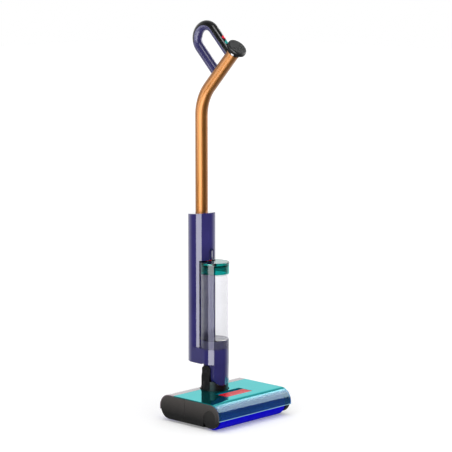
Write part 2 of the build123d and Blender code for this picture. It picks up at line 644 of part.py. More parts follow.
with BuildPart() as battery_frame:
    for level in range(4):
        z = CELLS_Z - 2.0 + level * CELL_PITCH_Z
        block(-2 * CELL_X, 2 * CELL_X, CELL_Y - 9, CELL_Y + 9, z, z + 2.0)
    block(-2 * CELL_X, 2 * CELL_X, CELL_Y - 12.4, CELL_Y - CELL_R, CELLS_Z - 2, CELLS_Z + 3 * CELL_PITCH_Z)
    block(-2 * CELL_X, 2 * CELL_X, CELL_Y - CELL_R, CELL_Y - 8.9, CELLS_Z - 2, CELLS_Z)
write(battery_frame.part, "battery_frame")

with BuildPart() as water_pump:
    post(186.0, 214.0, 0, BODY_Y + 12.0, 12.0)
    post(180.0, 186.0, -6.0, BODY_Y + 12.0, 2.5)
    post(180.0, 186.0, 6.0, BODY_Y + 12.0, 2.5)
write(water_pump.part, "water_pump")

# hose from the tank socket to the pump, all arcs and straight runs
HOSE_R = 2.5
HOSE_LOW_Z = 161.0
with BuildPart() as water_hose:
    with BuildLine() as hose_line:
        FilletPolyline((0, NECK_Y, SOCKET_BOTTOM), (0, NECK_Y, HOSE_LOW_Z), (-6.0, BODY_Y + 12.0, HOSE_LOW_Z),
                       (-6.0, BODY_Y + 12.0, 180.0), radius=6.0)
    with BuildSketch(Plane(origin=hose_line.line @ 0, z_dir=hose_line.line % 0)):
        Circle(HOSE_R)
        Circle(1.5, mode=Mode.SUBTRACT)
    sweep()
write(water_hose.part, "water_hose")

with BuildPart() as control_board:
    block(-26.0, 26.0, BODY_Y + 14.0, BODY_Y + 15.6, 462.0, 538.0)
    block(-18.0, 2.0, BODY_Y + 10.0, BODY_Y + 14.0, 470.0, 492.0)
    block(6.0, 20.0, BODY_Y + 11.5, BODY_Y + 14.0, 500.0, 520.0)
write(control_board.part, "control_board")

WAND_FOOT = 545.0
with BuildPart() as wand_socket:
    post(WAND_FOOT - 2.0, 572.0, 0, BODY_Y, BODY_R - BODY_WALL - 0.2)
    post(WAND_FOOT, 573.0, 0, BODY_Y, WAND_R, mode=Mode.SUBTRACT)
    post(WAND_FOOT - 3.0, 573.0, 0, BODY_Y, 14.0, mode=Mode.SUBTRACT)
write(wand_socket.part, "wand_socket")

# ================= clean water tank =================
TANK_WALL = 2.2
TANK_NECK_R = 38.6
with BuildPart() as clean_tank:
    post(TANK_BOTTOM, TANK_SHOULDER, 0, NECK_Y, TANK_R)
    post(TANK_SHOULDER, 440.0, 0, NECK_Y, TANK_NECK_R)
    post(TANK_FLOOR, 441.0, 0, NECK_Y, TANK_NECK_R - TANK_WALL, mode=Mode.SUBTRACT)
    post(TANK_FLOOR, TANK_SHOULDER - 3, 0, NECK_Y, TANK_R - TANK_WALL, mode=Mode.SUBTRACT)
    post(TANK_BOTTOM - 1, TANK_FLOOR - 2.5, 0, NECK_Y, TANK_R - TANK_WALL, mode=Mode.SUBTRACT)
    post(TANK_FLOOR - 3, TANK_FLOOR + 1, 0, NECK_Y, 2.5, mode=Mode.SUBTRACT)
write(clean_tank.part, "clean_tank")

with BuildPart() as tank_foot:
    post(TANK_BOTTOM, TANK_FLOOR - 2.5, 0, NECK_Y, TANK_R - TANK_WALL)
    post(TANK_BOTTOM + 2.5, TANK_FLOOR - 2.5, 0, NECK_Y, TANK_R - TANK_WALL - 2.2, mode=Mode.SUBTRACT)
    post(TANK_BOTTOM - 1, TANK_BOTTOM + 3, 0, NECK_Y, VALVE_R, mode=Mode.SUBTRACT)
write(tank_foot.part, "tank_foot")

with BuildPart() as tank_valve:
    post(TANK_BOTTOM, TANK_FLOOR - 2.5, 0, NECK_Y, VALVE_R)
    post(TANK_BOTTOM - 1, TANK_FLOOR, 0, NECK_Y, 2.5, mode=Mode.SUBTRACT)
write(tank_valve.part, "tank_valve")

LATCH_X = 12.0
LATCH_FRONT_Y = NECK_Y + 18.0
LATCH_REAR_Y = NECK_Y + 30.0
with BuildPart() as tank_cap:
    post(TANK_SHOULDER + SMALL_GAP, TANK_TOP, 0, NECK_Y, TANK_CAP_R)
    fillet(tank_cap.faces().sort_by(Axis.Z)[-1].edges(), radius=1.5)
    post(TANK_SHOULDER, 446.0, 0, NECK_Y, TANK_NECK_R + 0.3, mode=Mode.SUBTRACT)
    block(-LATCH_X - 0.4, LATCH_X + 0.4, LATCH_FRONT_Y - 0.4, LATCH_REAR_Y + 0.4, 448.0, TANK_TOP + 1, mode=Mode.SUBTRACT)
write(tank_cap.part, "tank_cap")

with BuildPart() as cap_seal:
    post(440.2, 442.4, 0, NECK_Y, TANK_NECK_R + 0.3)
    post(440.0, 443.0, 0, NECK_Y, TANK_NECK_R - 2.6, mode=Mode.SUBTRACT)
write(cap_seal.part, "cap_seal")

with BuildPart() as tank_latch:
    block(-LATCH_X, LATCH_X, LATCH_FRONT_Y, LATCH_REAR_Y, 450.0, TANK_TOP + 0.8)
    fillet(tank_latch.edges().filter_by(Axis.Z), radius=2.0)
    fillet(tank_latch.faces().sort_by(Axis.Z)[-1].edges(), radius=0.5)
write(tank_latch.part, "tank_latch")

# ================= wand and handle =================
BEND_CENTRE = (BODY_Y - WAND_BEND_R, WAND_BEND_Z)
SLANT = math.radians(WAND_ANGLE)
SLANT_START = (BEND_CENTRE[0] + WAND_BEND_R * math.cos(SLANT), WAND_BEND_Z + WAND_BEND_R * math.sin(SLANT))
SLANT_DIR = (-math.sin(SLANT), math.cos(SLANT))
COLLAR_START = 139.0
WAND_END = 148.0
DISC_START = 149.0
DISC_FACE = 162.0


def on_slant(length):
    """A point on the slanted stretch of the wand's axis, as (0, y, z)."""
    return (0, SLANT_START[0] + SLANT_DIR[0] * length, SLANT_START[1] + SLANT_DIR[1] * length)


def slant_plane(length):
    """Plane across the slanted wand at a distance from the end of the bend."""
    return Plane(origin=on_slant(length), x_dir=(1, 0, 0), z_dir=(0, SLANT_DIR[0], SLANT_DIR[1]))


with BuildPart() as wand_tube:
    with BuildLine() as wand_line:
        Line((0, BODY_Y, WAND_FOOT), (0, BODY_Y, WAND_BEND_Z))
        half_y = BEND_CENTRE[0] + WAND_BEND_R * math.cos(SLANT / 2)
        half_z = WAND_BEND_Z + WAND_BEND_R * math.sin(SLANT / 2)
        ThreePointArc((0, BODY_Y, WAND_BEND_Z), (0, half_y, half_z), (0, SLANT_START[0], SLANT_START[1]))
        Line((0, SLANT_START[0], SLANT_START[1]), on_slant(WAND_END))
    with BuildSketch(Plane.XY.offset(WAND_FOOT)):
        with Locations((0, BODY_Y)):
            Circle(WAND_R)
            Circle(WAND_R - 1.6, mode=Mode.SUBTRACT)
    sweep()
write(wand_tube.part, "wand_tube")

LOOP = math.radians(LOOP_ANGLE)
LEG_DIR = (math.cos(LOOP), math.sin(LOOP))        # from the wand towards the turn
OUT_DIR = (-math.sin(LOOP), math.cos(LOOP))       # from the loop's middle towards its upper leg
COVER_TURN = math.radians(150.0)                  # how far round the turn the black cover reaches


def loop_point(out, along):
    """A point in the loop's own axes, measured from the centre of its turn, as (0, y, z)."""
    y = LOOP_CENTRE[0] + OUT_DIR[0] * out + LEG_DIR[0] * along
    z = LOOP_CENTRE[1] + OUT_DIR[1] * out + LEG_DIR[1] * along
    return (0, y, z)


def turn_point(angle):
    """A point on the loop's turn, at an angle from the end of the upper leg."""
    return loop_point(LOOP_TURN_R * math.cos(angle), LOOP_TURN_R * math.sin(angle))


LOOP_START = Plane(origin=loop_point(LOOP_TURN_R, -104.0), x_dir=(1, 0, 0), z_dir=(0, LEG_DIR[0], LEG_DIR[1]))


def loop_path(turn_end, last_leg):
    """Centre line of the loop, up to an angle of the turn or all the way down the lower leg."""
    Line(loop_point(LOOP_TURN_R, -104.0), turn_point(0))
    ThreePointArc(turn_point(0), turn_point(turn_end / 2), turn_point(turn_end))
    if last_leg:
        Line(turn_point(turn_end), loop_point(-LOOP_TURN_R, -110.0))


def loop_tube(radius):
    """Round bar along the whole loop."""
    with BuildPart() as bar:
        with BuildLine():
            loop_path(math.pi, True)
        with BuildSketch(LOOP_START):
            Circle(radius)
        sweep()
    return bar.part


def loop_outer_half(radius, turn_end):
    """The outer half of the round bar, from the upper leg's end to an angle of the turn."""
    with BuildPart() as bar:
        with BuildLine():
            loop_path(turn_end, False)
        with BuildSketch(LOOP_START):
            Circle(radius)
            with Locations((0, radius - SPLIT_SHIFT)):
                Rectangle(4 * radius, 2 * radius, mode=Mode.SUBTRACT)
        sweep()
    return bar.part


SPLIT_SHIFT = 0.5
HANDLE_BORE_R = 10.5
whole_loop = loop_tube(LOOP_R)
loop_bore = loop_tube(HANDLE_BORE_R)
cover_half = loop_outer_half(LOOP_R + 1.0, COVER_TURN)

with BuildPart() as wand_core:
    with BuildSketch(slant_plane(20.0)):
        Circle(WAND_R)
    extrude(amount=COLLAR_START - 20.0)
    with BuildSketch(slant_plane(COLLAR_START)):
        Circle(WAND_R + 1.6)
    extrude(amount=60.0)

BUTTONS = (("power_button", -41.0, 5.6, 5.6), ("mode_button", -60.0, 7.2, 6.6))


def button_plane(along, out):
    """Plane across a button's travel, on the upper leg."""
    return Plane(origin=loop_point(LOOP_TURN_R + out, along), x_dir=(1, 0, 0), z_dir=(0, OUT_DIR[0], OUT_DIR[1]))


def button_shape(along, half_x, half_len, gap, out0, out1):
    """A rounded block at a button's place, grown by a gap, between two heights over the leg's axis."""
    with BuildPart() as shape:
        with BuildSketch(button_plane(along, out0)):
            RectangleRounded(2 * (half_x + gap), 2 * (half_len + gap), half_len * 0.96)
        extrude(amount=out1 - out0)
    return shape.part


with BuildPart() as handle_loop:
    add(whole_loop)
    add(loop_bore, mode=Mode.SUBTRACT)
    add(cover_half, mode=Mode.SUBTRACT)
    add(wand_core.part, mode=Mode.SUBTRACT)
write(handle_loop.part, "handle_loop")

with BuildPart() as grip_cover:
    add(whole_loop)
    add(cover_half, mode=Mode.INTERSECT)
    add(loop_bore, mode=Mode.SUBTRACT)
    add(wand_core.part, mode=Mode.SUBTRACT)
    for name, along, half_x, half_len in BUTTONS:
        add(button_shape(along, half_x, half_len, 0.35, 6.0, 20.0), mode=Mode.SUBTRACT)
write(grip_cover.part, "grip_cover")

with BuildPart() as leg_bar:
    with BuildSketch(LOOP_START):
        Circle(LOOP_R + 0.9)
    extrude(amount=104.0)

for name, along, half_x, half_len in BUTTONS:
    with BuildPart() as button:
        add(button_shape(along, half_x, half_len, 0.0, 10.0, 20.0))
        add(leg_bar.part, mode=Mode.INTERSECT)
    write(button.part, name)

# switch board under the two buttons, inside the handle
with BuildPart() as switch_board:
    with BuildSketch(button_plane(-50.5, 5.6)):
        Rectangle(13.0, 44.0)
    extrude(amount=1.4)
    for name, along, half_x, half_len in BUTTONS:
        with BuildSketch(button_plane(along, 7.0)):
            Circle(2.5)
        extrude(amount=1.4)
write(switch_board.part, "switch_board")

# ================= display =================
with BuildPart() as display_housing:
    with BuildSketch(slant_plane(COLLAR_START)):
        Circle(WAND_R + 1.6)
        Circle(WAND_R, mode=Mode.SUBTRACT)
    extrude(amount=DISC_START - COLLAR_START)
    with BuildSketch(slant_plane(DISC_START - 1.0)):
        Circle(DISC_R)
    extrude(amount=9.0)
    back = display_housing.edges().filter_by(GeomType.CIRCLE).sort_by(SortBy.RADIUS)[-2:]
    fillet(back.sort_by(Axis.Y)[-1], radius=5.0)
    with BuildSketch(slant_plane(DISC_START + 1.5)):
        Circle(DISC_R - 1.6)
    extrude(amount=20.0, mode=Mode.SUBTRACT)
write(display_housing.part, "display_housing")

with BuildPart() as display_board:
    with BuildSketch(slant_plane(DISC_START + 1.5)):
        Circle(DISC_R - 4.0)
    extrude(amount=1.6)
write(display_board.part, "display_board")

LENS_DOME = 3.4
with BuildPart() as display_lens:
    with BuildSketch(slant_plane(DISC_START + 4.5)):
        Circle(DISC_R - 1.6)
    extrude(amount=5.0)
    with BuildSketch(slant_plane(DISC_START + 8.0)):
        Circle(DISC_R)
    extrude(amount=DISC_FACE - DISC_START - 8.0)
    rim = display_lens.edges().filter_by(GeomType.CIRCLE).sort_by(Axis.Y)[0]
    fillet(rim, radius=LENS_DOME)
write(display_lens.part, "display_lens")
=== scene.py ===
import math

import bpy
import numpy as np
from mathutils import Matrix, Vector


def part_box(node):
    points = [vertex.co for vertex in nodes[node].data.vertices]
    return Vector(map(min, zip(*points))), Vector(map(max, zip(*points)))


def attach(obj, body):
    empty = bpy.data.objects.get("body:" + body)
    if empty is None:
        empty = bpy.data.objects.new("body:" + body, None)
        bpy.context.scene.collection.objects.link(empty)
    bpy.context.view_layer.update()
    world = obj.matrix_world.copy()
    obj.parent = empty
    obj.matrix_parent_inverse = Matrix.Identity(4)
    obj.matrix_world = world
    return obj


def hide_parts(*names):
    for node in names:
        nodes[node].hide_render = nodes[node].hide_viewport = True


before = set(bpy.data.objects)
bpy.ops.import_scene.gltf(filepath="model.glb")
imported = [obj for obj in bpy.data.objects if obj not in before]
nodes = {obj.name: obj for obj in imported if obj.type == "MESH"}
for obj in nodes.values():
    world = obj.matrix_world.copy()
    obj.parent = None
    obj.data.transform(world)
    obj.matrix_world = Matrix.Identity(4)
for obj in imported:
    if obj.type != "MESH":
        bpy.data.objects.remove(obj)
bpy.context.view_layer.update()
rng = np.random.default_rng(7)


def lin(r, g, b):
    """An sRGB colour, 0 to 255, as linear RGBA."""
    out = []
    for c in (r, g, b):
        c = c / 255.0
        out.append(c / 12.92 if c <= 0.04045 else ((c + 0.055) / 1.055) ** 2.4)
    return (*out, 1.0)


def scaled(colour, k):
    return (colour[0] * k, colour[1] * k, colour[2] * k, 1.0)


# ---------------------------------------------------------------- materials
class Mat:
    """A node material round one Principled shader, with helpers for the procedural parts."""

    def __init__(self, name, rough=0.4, metallic=0.0, ior=1.5):
        self.m = bpy.data.materials.new(name)
        self.m.use_nodes = True
        self.t = self.m.node_tree
        self.b = self.t.nodes["Principled BSDF"]
        self.b.inputs["Roughness"].default_value = rough
        self.b.inputs["Metallic"].default_value = metallic
        self.b.inputs["IOR"].default_value = ior
        self.co = self.t.nodes.new("ShaderNodeTexCoord").outputs["Object"]

    def new(self, kind, **values):
        n = self.t.nodes.new(kind)
        for k, v in values.items():
            setattr(n, k, v)
        return n

    def link(self, a, b):
        self.t.links.new(a, b)

    def noise(self, scale, detail=3.0, stretch=None):
        n = self.new("ShaderNodeTexNoise")
        n.inputs["Scale"].default_value = scale
        n.inputs["Detail"].default_value = detail
        if stretch:
            mp = self.new("ShaderNodeMapping")
            mp.inputs["Scale"].default_value = stretch
            self.link(self.co, mp.inputs["Vector"])
            self.link(mp.outputs["Vector"], n.inputs["Vector"])
        else:
            self.link(self.co, n.inputs["Vector"])
        return n.outputs["Fac"]

    def ramp(self, fac, stops):
        r = self.new("ShaderNodeValToRGB")
        e = r.color_ramp.elements
        while len(e) < len(stops):
            e.new(0.5)
        for i, (pos, col) in enumerate(stops):
            e[i].position = pos
            e[i].color = col
        self.link(fac, r.inputs["Fac"])
        return r.outputs["Color"]

    def spread(self, fac, lo, hi, from_lo=0.3, from_hi=0.7):
        r = self.new("ShaderNodeMapRange")
        r.inputs["From Min"].default_value = from_lo
        r.inputs["From Max"].default_value = from_hi
        r.inputs["To Min"].default_value = lo
        r.inputs["To Max"].default_value = hi
        self.link(fac, r.inputs["Value"])
        return r.outputs["Result"]

    def colour(self, a, b, scale=30.0, stretch=None):
        shade = self.ramp(self.noise(scale, stretch=stretch), [(0.35, a), (0.65, b)])
        self.link(shade, self.b.inputs["Base Color"])
        return self

    def roughness(self, lo, hi, scale=60.0, stretch=None):
        self.link(self.spread(self.noise(scale, stretch=stretch), lo, hi), self.b.inputs["Roughness"])
        return self

    def bump(self, scale, strength, distance=0.0002, detail=4.0, stretch=None, bevel=0.0004):
        n = self.new("ShaderNodeBump")
        n.inputs["Strength"].default_value = strength
        n.inputs["Distance"].default_value = distance
        self.link(self.noise(scale, detail=detail, stretch=stretch), n.inputs["Height"])
        if bevel:
            v = self.new("ShaderNodeBevel")
            v.samples = 3
            v.inputs["Radius"].default_value = bevel
            self.link(v.outputs["Normal"], n.inputs["Normal"])
        self.link(n.outputs["Normal"], self.b.inputs["Normal"])
        return self

    def coat(self, weight, rough=0.03):
        self.b.inputs["Coat Weight"].default_value = weight
        self.b.inputs["Coat Roughness"].default_value = rough
        return self


def gloss_plastic(name, rgb, rough=0.12, coat=0.0, vary=0.08):
    c = lin(*rgb)
    m = Mat(name, rough)
    m.colour(scaled(c, 1 - vary), scaled(c, 1 + vary), 18.0)
    m.roughness(rough * 0.8, rough * 1.25, 55.0)
    m.bump(900.0, 0.006, 0.00005)
    if coat:
        m.coat(coat)
    return m.m


def moulded(name, rgb, rough=0.5, grain=1400.0, strength=0.25, vary=0.1):
    """Spark-eroded moulded plastic: a fine even grain."""
    c = lin(*rgb)
    m = Mat(name, rough)
    m.colour(scaled(c, 1 - vary), scaled(c, 1 + vary), 40.0)
    m.roughness(rough * 0.85, rough * 1.15, 120.0)
    m.bump(grain, strength, 0.00008)
    return m.m


def metal(name, rgb, rough=0.3, stretch=(1, 1, 1), strength=0.15, scale=400.0, vary=0.09):
    c = lin(*rgb)
    m = Mat(name, rough, metallic=1.0)
    m.colour(scaled(c, 1 - vary), scaled(c, 1 + vary), 25.0, stretch)
    m.roughness(rough * (1 - 2 * vary), rough * (1 + 2 * vary), 80.0, stretch)
    m.bump(scale, strength, 0.00004, stretch=stretch)
    return m.m


def clear(name, rgb, rough=0.03, ior=1.45):
    c = lin(*rgb)
    m = Mat(name, rough, ior=ior)
    m.colour(scaled(c, 0.97), c, 12.0)
    m.b.inputs["Transmission Weight"].default_value = 1.0
    m.roughness(rough * 0.8, rough * 1.5, 40.0)
    return m.m


def socket(material, name, value):
    """Set one uniform value on a material's shader."""
    material.node_tree.nodes["Principled BSDF"].inputs[name].default_value = value


indigo = gloss_plastic("indigo_gloss", (50, 46, 104), 0.07, coat=0.3)


def handle_indigo():
    """The loop handle's softer indigo: a satin skin with no edge to catch the light."""
    c = lin(45, 42, 92)
    m = Mat("indigo_satin", 0.26)
    m.colour(scaled(c, 0.95), scaled(c, 1.05), 14.0)
    m.roughness(0.24, 0.3, 40.0)
    return m.m




def anodised_copper():
    """Satin copper-toned tube: a coloured metal under a clear, softly polished coat."""
    c = lin(142, 90, 34)
    m = Mat("copper_satin", 0.44, metallic=0.8)
    m.colour(scaled(c, 0.96), scaled(c, 1.04), 30.0, (1, 1, 0.1))
    m.roughness(0.43, 0.46, 20.0)
    return m.coat(0.45, 0.24).m


copper = anodised_copper()


def cap_plastic(name, high, low, rough=0.36):
    """Moulded charcoal end cap with painted light and shade: paler towards its top edge as if lit from above,
    and painted dark in its notch.
    """
    m = Mat(name, rough)
    xyz = m.new("ShaderNodeSeparateXYZ")
    m.link(m.co, xyz.inputs["Vector"])
    lo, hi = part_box("left_front_cap")
    # painted light: the colour pales with height, standing in for light falling from above
    up = m.spread(xyz.outputs["Z"], 0.0, 1.0, lo.z, hi.z)
    # painted shade: the notch low in the cap's outer face is painted dark, and its reflection is turned down
    across = m.new("ShaderNodeMath", operation="ABSOLUTE")
    m.link(xyz.outputs["X"], across.inputs[0])
    face = m.spread(across.outputs[0], 1.0, 0.0, -lo.x - 0.004, -lo.x - 0.0015)
    under = m.spread(xyz.outputs["Z"], 1.0, 0.0, lo.z + 0.024, lo.z + 0.027)
    painted_notch_shade = m.new("ShaderNodeMath", operation="MULTIPLY")
    m.link(face, painted_notch_shade.inputs[0])
    m.link(under, painted_notch_shade.inputs[1])
    shade = m.new("ShaderNodeMath", operation="SUBTRACT")
    m.link(up, shade.inputs[0])
    m.link(painted_notch_shade.outputs[0], shade.inputs[1])
    up = shade.outputs[0]
    mix = m.new("ShaderNodeMath", operation="MULTIPLY_ADD")
    m.link(m.noise(60.0), mix.inputs[0])
    mix.inputs[1].default_value = 0.12
    m.link(up, mix.inputs[2])
    m.link(m.ramp(mix.outputs[0], [(0.3, lin(*low)), (1.0, lin(*high))]), m.b.inputs["Base Color"])
    m.roughness(rough * 0.9, rough * 1.1, 120.0)
    m.bump(1400.0, 0.15, 0.00008)
    # painted shade: less reflection inside the notch
    m.link(m.spread(painted_notch_shade.outputs[0], 0.3, 0.0, 0.0, 1.0), m.b.inputs["Specular IOR Level"])
    return m.m


# painted light and shade: the pale tone is the lit top, the near-black the shaded bottom and notch
charcoal = cap_plastic("charcoal_satin", (68, 64, 62), (10, 10, 10))
yoke_black = moulded("yoke_black", (15, 15, 16), 0.38, strength=0.1)
socket(yoke_black, "Specular IOR Level", 0.22)
black_gloss = gloss_plastic("black_gloss", (14, 14, 15), 0.26, coat=0.15)
inner_grey = moulded("inner_grey", (70, 70, 74), 0.55)
inner_dark = moulded("inner_dark", (26, 30, 32), 0.5)
red = gloss_plastic("red_gloss", (222, 10, 40), 0.3)
socket(red, "Specular IOR Level", 0.08)
button_red = gloss_plastic("button_red", (222, 14, 52), 0.16, coat=0.5)
steel = metal("steel_brushed", (180, 182, 186), 0.3, (0.05, 1, 1))
collar_black = moulded("collar_black", (12, 12, 13), 0.6, strength=0.1)
socket(collar_black, "Specular IOR Level", 0.1)
dark_steel = metal("pin_dark", (52, 52, 56), 0.4)
can_metal = metal("motor_can", (165, 168, 172), 0.35, (1, 0.1, 0.1))
brass = metal("gold_contact", (226, 182, 98), 0.22)
rubber = moulded("rubber_black", (24, 24, 25), 0.7, 900.0, 0.3)
hose = moulded("hose_milky", (205, 208, 210), 0.3, 300.0, 0.05)
cells = gloss_plastic("cell_wrap_teal", (20, 95, 110), 0.25)
board = gloss_plastic("board_green", (18, 82, 48), 0.35)
core_blue = moulded("core_blue", (58, 60, 120), 0.45)
teal_button = gloss_plastic("teal_button", (20, 150, 145), 0.12, coat=0.6)
lens_grey = gloss_plastic("display_smoke", (30, 31, 32), 0.3)
socket(lens_grey, "Specular IOR Level", 0.3)
tank_clear = clear("tank_clear", (240, 240, 243), 0.02, ior=1.42)
socket(tank_clear, "Specular Tint", (0.74, 0.74, 1.0, 1))
smoke_clear = clear("smoke_clear", (96, 122, 122), 0.08)
mesh_grey = moulded("tray_grey", (92, 100, 102), 0.45)
lid_teal = clear("lid_teal", (16, 160, 152), 0.04)


def cover_teal():
    """Glossy teal shell: a mirror-like tinted top, see-through where it curves down over the front roller,
    with a painted highlight along its lower lip.
    """
    m = Mat("cover_teal", 0.05, ior=1.5)
    lo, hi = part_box("top_cover")
    xyz = m.new("ShaderNodeSeparateXYZ")
    m.link(m.co, xyz.inputs["Vector"])
    curve = m.spread(xyz.outputs["Z"], 0.9, 0.0, hi.z - 0.012, hi.z - 0.002)
    top = m.spread(xyz.outputs["Z"], 0.0, 0.9, hi.z - 0.0045, hi.z - 0.0008)
    m.link(top, m.b.inputs["Metallic"])
    clear_part = m.new("ShaderNodeMath", operation="SUBTRACT", use_clamp=True)
    m.link(curve, clear_part.inputs[0])
    m.link(m.spread(xyz.outputs["Z"], 0.8, 0.0, lo.z + 0.0012, lo.z + 0.0024), clear_part.inputs[1])
    m.link(clear_part.outputs[0], m.b.inputs["Transmission Weight"])
    tint = m.ramp(m.noise(14.0), [(0.35, (0.0, 0.30, 0.31, 1)), (0.65, (0.0, 0.33, 0.34, 1))])
    see = m.ramp(m.noise(14.0), [(0.35, (0.01, 0.2, 0.66, 1)), (0.65, (0.012, 0.22, 0.7, 1))])
    mix = m.new("ShaderNodeMix", data_type="RGBA")
    m.link(curve, mix.inputs["Factor"])
    m.link(tint, mix.inputs["A"])
    m.link(see, mix.inputs["B"])
    # painted highlight: a pale band along the shell's lower lip stands in for light caught on its edge
    rim = m.new("ShaderNodeMix", data_type="RGBA")
    rim.inputs["B"].default_value = (0.35, 0.62, 0.75, 1)
    painted_lip_highlight = m.spread(xyz.outputs["Z"], 1.0, 0.0, lo.z + 0.0012, lo.z + 0.0024)
    m.link(painted_lip_highlight, rim.inputs["Factor"])
    m.link(mix.outputs["Result"], rim.inputs["A"])
    m.link(rim.outputs["Result"], m.b.inputs["Base Color"])
    shine = m.new("ShaderNodeMix", data_type="RGBA")
    shine.inputs["A"].default_value = (0.6, 0.9, 1.0, 1)
    shine.inputs["B"].default_value = (0.6, 1.0, 0.99, 1)
    m.link(top, shine.inputs["Factor"])
    m.link(shine.outputs["Result"], m.b.inputs["Specular Tint"])
    m.roughness(0.07, 0.09, 12.0)
    return m.m


def rear_grey():
    m = Mat("cover_rear_grey", 0.1)
    m.colour(lin(124, 112, 118), lin(138, 124, 131), 16.0)
    m.roughness(0.08, 0.14)
    m.bump(900.0, 0.02, 0.00005)
    return m.coat(0.3).m


by_node = {
    "head_chassis": inner_dark, "top_cover": cover_teal(), "rear_cover": rear_grey(),
    "left_front_cap": charcoal, "left_rear_cap": charcoal,
    "right_front_cap": charcoal, "right_rear_cap": charcoal,
    # the roller discs share the end caps' painted light and shade, paler at the top and darker low down
    "front_roller_disc": cap_plastic("disc_charcoal", (50, 48, 46), (22, 22, 22), 0.3),
    "cap_screws": steel, "front_roller_motor": can_metal, "rear_roller_motor": can_metal,
    "front_drive_belt": rubber, "rear_drive_belt": rubber,
    "front_water_bar": inner_grey, "rear_water_bar": inner_grey,
    "front_extraction_plate": steel, "rear_extraction_plate": steel, "front_roller_core": core_blue,
    "rear_roller_core": core_blue, "front_roller_bearing": brass, "rear_roller_bearing": brass,
    "dirty_tank": smoke_clear, "debris_tray": mesh_grey, "release_springs": steel, "release_tab": red,
    "yoke": yoke_black, "yoke_ring": steel, "recline_pins": dark_steel, "pivot_bushes": brass,
    "lower_housing": indigo,
    "body_tube": indigo, "body_top_cap": indigo, "charge_contacts": brass, "tank_socket": rubber,
    "battery_cells": cells, "battery_frame": inner_grey, "water_pump": inner_grey, "water_hose": hose,
    "control_board": board, "wand_socket": inner_grey, "wand_tube": copper, "handle_loop": handle_indigo(),
    "grip_cover": black_gloss, "switch_board": board, "display_housing": collar_black, "display_board": board,
    "display_lens": lens_grey, "clean_tank": tank_clear, "tank_foot": indigo, "tank_valve": inner_grey,
    "tank_cap": lid_teal, "cap_seal": rubber, "tank_latch": red,
    "power_button": button_red, "mode_button": teal_button,
}
by_node["rear_roller_disc"] = by_node["front_roller_disc"]


def bristles():
    """Rows of nylon bristle round the bar."""
    m = Mat("bristle_navy", 0.55)
    w = m.new("ShaderNodeTexWave")
    w.inputs["Scale"].default_value = 700.0
    w.inputs["Distortion"].default_value = 3.0
    m.link(m.co, w.inputs["Vector"])
    rows = m.ramp(w.outputs["Fac"], [(0.2, lin(14, 14, 42)), (0.8, lin(60, 62, 120))])
    m.link(rows, m.b.inputs["Base Color"])
    n = m.new("ShaderNodeBump")
    n.inputs["Strength"].default_value = 0.6
    n.inputs["Distance"].default_value = 0.0004
    m.link(w.outputs["Fac"], n.inputs["Height"])
    m.link(n.outputs["Normal"], m.b.inputs["Normal"])
    return m.m


by_node["front_brush_bar"] = by_node["rear_brush_bar"] = bristles()

for name, material in by_node.items():
    for place in nodes[name].material_slots:
        place.material = material


# ---------------------------------------------------------------- new pieces
def mesh_object(name, verts, faces, material, body):
    """A smooth-shaded new piece that rides on a body, with the given material in its one slot."""
    me = bpy.data.meshes.new(name)
    me.from_pydata([tuple(v) for v in verts], [], faces)
    me.update()
    me.polygons.foreach_set("use_smooth", [True] * len(me.polygons))
    me.materials.append(material)
    o = bpy.data.objects.new(name, me)
    bpy.context.scene.collection.objects.link(o)
    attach(o, body)
    return o


def microfibre():
    m = Mat("microfibre_blue", 0.85)
    fine = m.noise(2600.0, 2.0)
    blues = m.ramp(fine, [(0.3, lin(4, 0, 130)), (0.5, lin(8, 0, 200)), (0.72, lin(22, 8, 228))])
    m.link(blues, m.b.inputs["Base Color"])
    m.b.inputs["Sheen Weight"].default_value = 0.06
    m.b.inputs["Sheen Roughness"].default_value = 0.4
    m.b.inputs["Sheen Tint"].default_value = (0.2, 0.2, 1.0, 1)
    m.b.inputs["Specular IOR Level"].default_value = 0.05
    m.bump(3000.0, 0.7, 0.0005, bevel=0)
    return m.m


FIBRE = microfibre()


STRIP_PITCH = 0.050            # the sleeve is one strip wound round the core
SEAM_WIDTH = 0.0016
SLEEVE_THICK = 0.0072
END_GAP = 0.0005               # the pile stops this short of the CAD sleeve's ends
TUFTS = 9000


